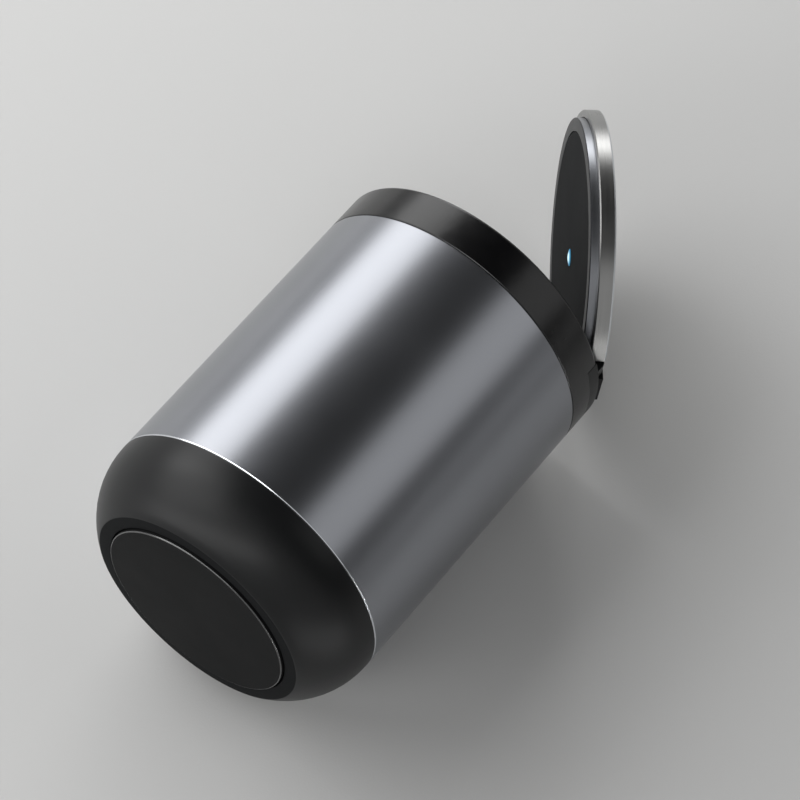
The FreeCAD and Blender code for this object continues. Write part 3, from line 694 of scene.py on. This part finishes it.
@dataclass
class Lid:
    """Cap, plug ring, panel and lens, modelled shut and then tilted about the hinge.

    Attributes:
        pivot: A point on the hinge pin.
        open_deg: How far the lid stands open at rest.
        seat: Height of the collar's top.
        gap: Gap between the collar and the cap's rim.
        radius: Radius of the cap.
        plug_radius: Radius of the plug ring.
        plug_depth: How far the plug stands below the cap's rim.
        rim_gap: Gap between the cap's rim and the plug ring.
        thickness: Thickness of the cap's rim.
        plate: Thickness of the cap's plate.
        top_bevel: Bright bevel at the cap's upper edge.
        rim_bevel: Bevel at its lower edge.
        land: Width of the plug ring's face.
        frame_wall: Wall of the plug ring above its floor.
        frame_floor: Thickness of that floor.
        edge: Fine rounding of the plug ring.
        panel: Thickness of the panel.
        panel_gap: Gap round the panel.
        lens_radius: Radius of the lens.
        lens_dome: Height of the lens's shallow dome.
        lens_flange: Width of the flange behind the panel.
        lens_gap: Gap round the lens.
        notch_half: Half width of the cut-out for the hinge.
        notch_y: Where that cut-out starts.
    """

    pivot: Vector
    open_deg: float
    seat: float
    gap: float = 0.2 * MM
    radius: float = 34.5 * MM
    plug_radius: float = 32.6 * MM
    plug_depth: float = 1.9 * MM
    rim_gap: float = 0.2 * MM
    thickness: float = 3.7 * MM
    plate: float = 1.0 * MM
    top_bevel: float = 0.4 * MM
    rim_bevel: float = 0.25 * MM
    land: float = 3.1 * MM
    frame_wall: float = 1.6 * MM
    frame_floor: float = 0.8 * MM
    edge: float = 0.25 * MM
    panel: float = 0.9 * MM
    panel_gap: float = 0.2 * MM
    lens_radius: float = 2.0 * MM
    lens_dome: float = 0.35 * MM
    lens_flange: float = 0.6 * MM
    lens_gap: float = 0.05 * MM
    notch_half: float = 9.5 * MM
    notch_y: float = 30.4 * MM

    def __post_init__(self) -> None:
        """Work out the heights of the shut lid and how it is tilted."""
        self.rim: float = self.seat + self.gap
        self.face: float = self.rim - self.plug_depth
        self.top: float = self.rim + self.thickness
        self.under: float = self.top - self.plate
        self.recess: float = self.plug_radius - self.land
        swing = Matrix.Rotation(math.radians(self.open_deg), 4, Vector((-1, 0, 0)))
        to_pivot = Matrix.Translation(self.pivot)
        self.tilt: Matrix = to_pivot @ swing @ to_pivot.inverted()

    def cut_for_hinge(self, piece: bpy.types.Object) -> None:
        """Cut the hinge's room out of the back of a piece."""
        cut_notch(
            piece, (-self.notch_half, self.notch_y, 0),
            (self.notch_half, 2 * self.radius, 2 * self.top))

    def build_cap(self) -> None:
        """Model the metal cap with a bright upper bevel and dress it."""
        inner = self.plug_radius + self.rim_gap
        piece = turn("gunmetal_cap", [
            (0, self.under),
            (inner, self.under),
            (inner, self.rim),
            (self.radius - self.rim_bevel, self.rim),
            (self.radius, self.rim + self.rim_bevel),
            (self.radius, self.top - self.top_bevel),
            (self.radius - self.top_bevel, self.top),
            (0, self.top),
        ])
        self.cut_for_hinge(piece)
        paint(piece, LID_GUNMETAL.build(self.tilt))
        paint(piece, CUT_EDGE.build(self.tilt), UPPER_BEVEL)
        place(piece, Body.LID, "lid_shell", self.tilt)

    def build_plug(self) -> None:
        """Model the plug ring with its floor and dress it, with painted shade on the face's
        rounded edge.
        """
        edge = self.edge
        panel_back = self.face + self.panel
        floor = panel_back + self.frame_floor
        hole = self.lens_radius + self.lens_flange + self.lens_gap
        piece = turn("chromed_plug", [
            (self.recess, self.face),
            *arc((self.plug_radius - edge, self.face + edge), edge, -90, 0),
            (self.plug_radius, self.under),
            (self.plug_radius - self.frame_wall, self.under),
            (self.plug_radius - self.frame_wall, floor),
            (hole, floor),
            (hole, panel_back),
            (self.recess, panel_back),
        ])
        self.cut_for_hinge(piece)
        paint(piece, PLUG_CHROME.build(self.tilt))
        # Black chrome on the face; on the rounded edge the same dark colour is painted
        # shade against its highlight
        paint(piece, PLUG_FACE_AND_SHADED_EDGE.build(self.tilt), BELOW_WITH_SHADED_EDGE)
        place(piece, Body.LID, "lid_frame", self.tilt)

    def build_panel(self) -> None:
        """Model the flat panel with a fine bevel and dress it."""
        edge = self.edge / 2
        outer = self.recess - self.panel_gap
        hole = self.lens_radius + self.lens_gap
        piece = turn("matt_panel", [
            (hole, self.face + edge),
            (hole + edge, self.face),
            (outer - edge, self.face),
            (outer, self.face + edge),
            (outer, self.face + self.panel),
            (hole, self.face + self.panel),
        ])
        paint(piece, PANEL_MATT.build(self.tilt))
        place(piece, Body.LID, "lid_panel", self.tilt)

    def build_lens(self) -> None:
        """Model the domed lens with its flange and let it glow."""
        bend = (self.lens_radius ** 2 + self.lens_dome ** 2) / (2 * self.lens_dome)
        tip = self.face - self.lens_dome
        rim_deg = math.degrees(math.asin(self.lens_radius / bend)) - 90
        back = self.face + self.panel + self.frame_floor - self.lens_gap
        flange = self.lens_radius + self.lens_flange
        piece = turn("lamp_lens", [
            (0, tip),
            *arc((0, tip + bend), bend, -90, rim_deg)[1:],
            (self.lens_radius, self.face + self.panel),
            (flange, self.face + self.panel),
            (flange, back),
            (0, back),
        ])
        centre = self.tilt @ Vector((0, 0, tip))
        paint(piece, LampGlow().build(centre, self.lens_radius))
        place(piece, Body.LID, "led_lens", self.tilt)

    def build(self) -> None:
        """Make every piece of the lid."""
        self.build_cap()
        self.build_plug()
        self.build_panel()
        self.build_lens()


NODE_FINISHES: dict[str, Finish] = {
    "hinge_bracket": BASE_ABS,
    "bracket_screws": PIN_STEEL,
    "hinge_pin": LEAF_BLACK,
    "friction_washers": LEAF_BLACK,
    "hinge_leaf": LEAF_BLACK,
    "leaf_screws": PIN_STEEL,
    "frame_screws": PIN_STEEL,
    "led_chip": CHIP_CASE,
    "chip_resistor": CHIP_CASE,
    "circuit_board": BOARD_MASK,
    "coin_cell": PIN_STEEL,
    "cell_spring": CONTACT_BRASS,
    "cell_contact": CONTACT_BRASS,
    "tilt_switch": CONTACT_BRASS,
}


def dress_nodes(nodes: dict[str, bpy.types.Object]) -> None:
    """Give the small carried-over pieces their finishes.

    Args:
        nodes: The frame's nodes by name.
    """
    for name, finish in NODE_FINISHES.items():
        nodes[name].data.materials.clear()
        nodes[name].data.materials.append(finish.build())
        LOG.info("%s finished as %s", name, finish.name)


@dataclass(frozen=True)
class SoftLight:
    """A rectangular studio lamp aimed at the body.

    Attributes:
        name: What the lamp does.
        towards: Direction from the body to the lamp.
        distance: Distance from the body.
        width: Width of the lamp.
        height: Height of the lamp, along the body's axis as far as it can be.
        watts: Power of the lamp.
        behind_floor: Whether its light has to pass the floor from behind.
    """

    name: str
    towards: Triple
    distance: float
    width: float
    height: float
    watts: float
    behind_floor: bool = False

    def build(self, target: Vector) -> None:
        """Hang the lamp and aim it.

        Args:
            target: The point that it looks at.
        """
        away = Vector(self.towards).normalized()
        side = Vector((0, 0, 1)).cross(away).normalized()
        upright = away.cross(side)
        data = bpy.data.lights.new(self.name, "AREA")
        data.shape = "RECTANGLE"
        data.size = self.width
        data.size_y = self.height
        data.energy = self.watts
        # Reflected rays stop at the floor, so a lamp behind it gives direct light alone.
        data.cycles.use_multiple_importance_sampling = not self.behind_floor
        lamp = bpy.data.objects.new(self.name, data)
        turned = Matrix((side, upright, away)).transposed().to_4x4()
        lamp.matrix_world = Matrix.Translation(target + away * self.distance) @ turned
        bpy.context.collection.objects.link(lamp)


# The lamps whose reflections make the bands on the sleeve, the base and the lid
LAMPS = (
    SoftLight(
        "key", towards=(0.491, -0.751, 0.442), distance=0.7,
        width=0.42, height=0.9, watts=3.0),
    SoftLight(
        "side", towards=(0.64, 0.629, 0.442), distance=0.7,
        width=0.4, height=0.5, watts=0.55),
    SoftLight(
        "rim", towards=(0.355, -0.5, 0.79), distance=0.7,
        width=0.25, height=0.25, watts=0.5),
    SoftLight(
        "back", towards=(-0.31, 0.85, -0.42), distance=1.0,
        width=0.4, height=0.8, watts=1.2, behind_floor=True),
    SoftLight(
        "top", towards=(0.62, -0.74, -0.25), distance=1.3,
        width=1.2, height=1.2, watts=10.0),
    SoftLight(
        "foot", towards=(0.45, -0.3, -0.85), distance=0.8,
        width=1.5, height=0.22, watts=3.4),
)


def add_board(
        name: str, middle: Vector, facing: Vector, width: float,
        height: float) -> bpy.types.Object:
    """Stand a flat board in the studio.

    Args:
        name: Name of the board.
        middle: Where its middle is.
        facing: Its normal.
        width: Its width.
        height: Its height, along the body's axis as far as it can be.

    Returns:
        The board, with its place in its mesh.
    """
    bpy.ops.object.select_all(action="DESELECT")
    bpy.ops.mesh.primitive_plane_add(size=1)
    board = bpy.context.object
    board.name = name
    turned = facing.to_track_quat("Z", "Y").to_matrix().to_4x4()
    size = Matrix.Diagonal((width, height, 1, 1))
    board.matrix_world = Matrix.Translation(middle) @ turned @ size
    bpy.ops.object.transform_apply(location=True, rotation=True, scale=True)
    return board


@dataclass
class Studio:
    """Pale floor, dark card, soft lamps, pale backdrop and the camera.

    Attributes:
        radius: Radius of the body, which touches the floor with its side.
        floor_normal: The floor's normal, square to the side on which the body lies.
        floor_size: Width of the floor.
        floor_colour: Colour of the floor.
        floor_roughness: Roughness of its paper.
        tooth: Size of the paper's grain, drawn coarse enough to show.
        tooth_depth: Depth of that grain.
        tooth_relief: Strength of its bump.
        world_grey: Grey of the light from all round.
        backdrop: Grey that the camera, metal and glass see where there is no floor.
        card_towards: Direction of the dark card that the sleeve mirrors.
        card_distance: Distance of that card.
        card_width: Width of that card.
        card_height: Height of that card.
        card_colour: Colour of that card.
        card_roughness: Roughness of its felt.
        camera_place: Where the camera stands.
        camera_look: Where it looks.
        camera_up: Which way is up in its picture.
        lens_mm: Focal length.
        sensor_mm: Width of the sensor.
    """

    radius: float
    floor_normal: Triple = (1.0, 0.0, 0.0)
    floor_size: float = 6.0
    floor_colour: str = "#d1d1d0"
    floor_roughness: float = 0.7
    tooth: float = 0.6 * MM
    tooth_depth: float = 0.2 * MM
    tooth_relief: float = 0.12
    world_grey: float = 0.14
    backdrop: float = 0.58
    card_towards: Triple = (0.869, 0.223, 0.3)
    card_distance: float = 1.8
    card_width: float = 10.0
    card_height: float = 2.4
    card_colour: str = "#242425"
    card_roughness: float = 1.0
    camera_place: Triple = (0.740455, 0.192744, -0.305092)
    camera_look: Triple = (-0.86880443, -0.22337346, 0.44190853)
    camera_up: Triple = (0.48456802, -0.56712013, 0.66600945)
    lens_mm: float = 168.92
    sensor_mm: float = 36.0

    def build_floor(self) -> None:
        """Lay the pale floor against the body's side, clear when seen from behind."""
        normal = Vector(self.floor_normal).normalized()
        floor = add_board(
            "studio_floor", -normal * self.radius, normal, self.floor_size, self.floor_size)
        material = bpy.data.materials.new("studio_paper")
        material.use_nodes = True
        tree = material.node_tree
        shader = tree.nodes["Principled BSDF"]
        tooth = add_node(tree, "ShaderNodeTexNoise", inputs={
            "Vector": add_node(tree, "ShaderNodeTexCoord").outputs["Object"],
            "Scale": 1 / self.tooth, "Detail": FINE_DETAIL})
        bump = add_node(tree, "ShaderNodeBump", inputs={
            "Strength": self.tooth_relief, "Distance": self.tooth_depth,
            "Height": tooth.outputs["Fac"]})
        tree.links.new(bump.outputs["Normal"], shader.inputs["Normal"])
        shader.inputs["Base Color"].default_value = linear(self.floor_colour)
        shader.inputs["Roughness"].default_value = self.floor_roughness
        clear = add_node(tree, "ShaderNodeBsdfTransparent")
        side = add_node(tree, "ShaderNodeNewGeometry")
        mixed = add_node(tree, "ShaderNodeMixShader", inputs={
            0: side.outputs["Backfacing"], 1: shader.outputs[0], 2: clear.outputs[0]})
        tree.links.new(mixed.outputs[0], tree.nodes["Material Output"].inputs["Surface"])
        floor.data.materials.append(material)
        floor.visible_shadow = False

    def build_card(self) -> None:
        """Hang the dark card that the sleeve mirrors, out of the camera's sight."""
        towards = Vector(self.card_towards).normalized()
        card = add_board(
            "studio_card", towards * self.card_distance, -towards, self.card_width,
            self.card_height)
        material = bpy.data.materials.new("black_felt")
        material.use_nodes = True
        shader = material.node_tree.nodes["Principled BSDF"]
        shader.inputs["Base Color"].default_value = linear(self.card_colour)
        shader.inputs["Roughness"].default_value = self.card_roughness
        card.data.materials.append(material)
        card.visible_camera = False
        card.visible_shadow = False

    def build_world(self) -> None:
        """Set plain grey light from all round and a pale backdrop."""
        world = bpy.data.worlds.new("studio")
        bpy.context.scene.world = world
        world.use_nodes = True
        tree = world.node_tree
        path = add_node(tree, "ShaderNodeLightPath").outputs
        mirrored = add_node(tree, "ShaderNodeMath", {"operation": "MAXIMUM"}, {
            0: path["Is Glossy Ray"], 1: path["Is Transmission Ray"]})
        seen = add_node(tree, "ShaderNodeMath", {"operation": "MAXIMUM"}, {
            0: path["Is Camera Ray"], 1: mirrored.outputs[0]})
        strength = add_node(tree, "ShaderNodeMix", {"data_type": "FLOAT"}, {
            0: seen.outputs[0], 2: self.world_grey, 3: self.backdrop})
        background = tree.nodes["Background"]
        tree.links.new(strength.outputs[0], background.inputs["Strength"])
        background.inputs["Color"].default_value = (1, 1, 1, 1)

    def build_camera(self) -> None:
        """Stand the camera where the photograph was taken from."""
        look = Vector(self.camera_look).normalized()
        up = Vector(self.camera_up).normalized()
        data = bpy.data.cameras.new("camera")
        data.lens = self.lens_mm
        data.sensor_width = self.sensor_mm
        camera = bpy.data.objects.new("camera", data)
        turned = Matrix((look.cross(up), up, -look)).transposed().to_4x4()
        camera.matrix_world = Matrix.Translation(Vector(self.camera_place)) @ turned
        bpy.context.collection.objects.link(camera)
        bpy.context.scene.camera = camera

    def build(self, target: Vector) -> None:
        """Set up the whole studio round the body.

        Args:
            target: The middle of the body.
        """
        self.build_floor()
        self.build_card()
        self.build_world()
        for lamp in LAMPS:
            lamp.build(target)
        self.build_camera()
        bpy.context.scene.view_settings.view_transform = "Standard"


def main() -> None:
    """Dress the part and set up the studio."""
    logging.basicConfig(level=logging.INFO, format="%(name)s: %(message)s")
    for item in list(bpy.data.objects):
        bpy.data.objects.remove(item)
    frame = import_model()
    case = Case()
    case.build()
    hinge = frame["joints"][0]
    Lid(Vector(hinge["pos_m"]), -hinge["range_deg"][0], case.top).build()
    dress_nodes(frame["nodes"])
    Studio(case.radius).build(Vector((0, 0, case.top / 2)))


if __name__ == "__main__":
    main()
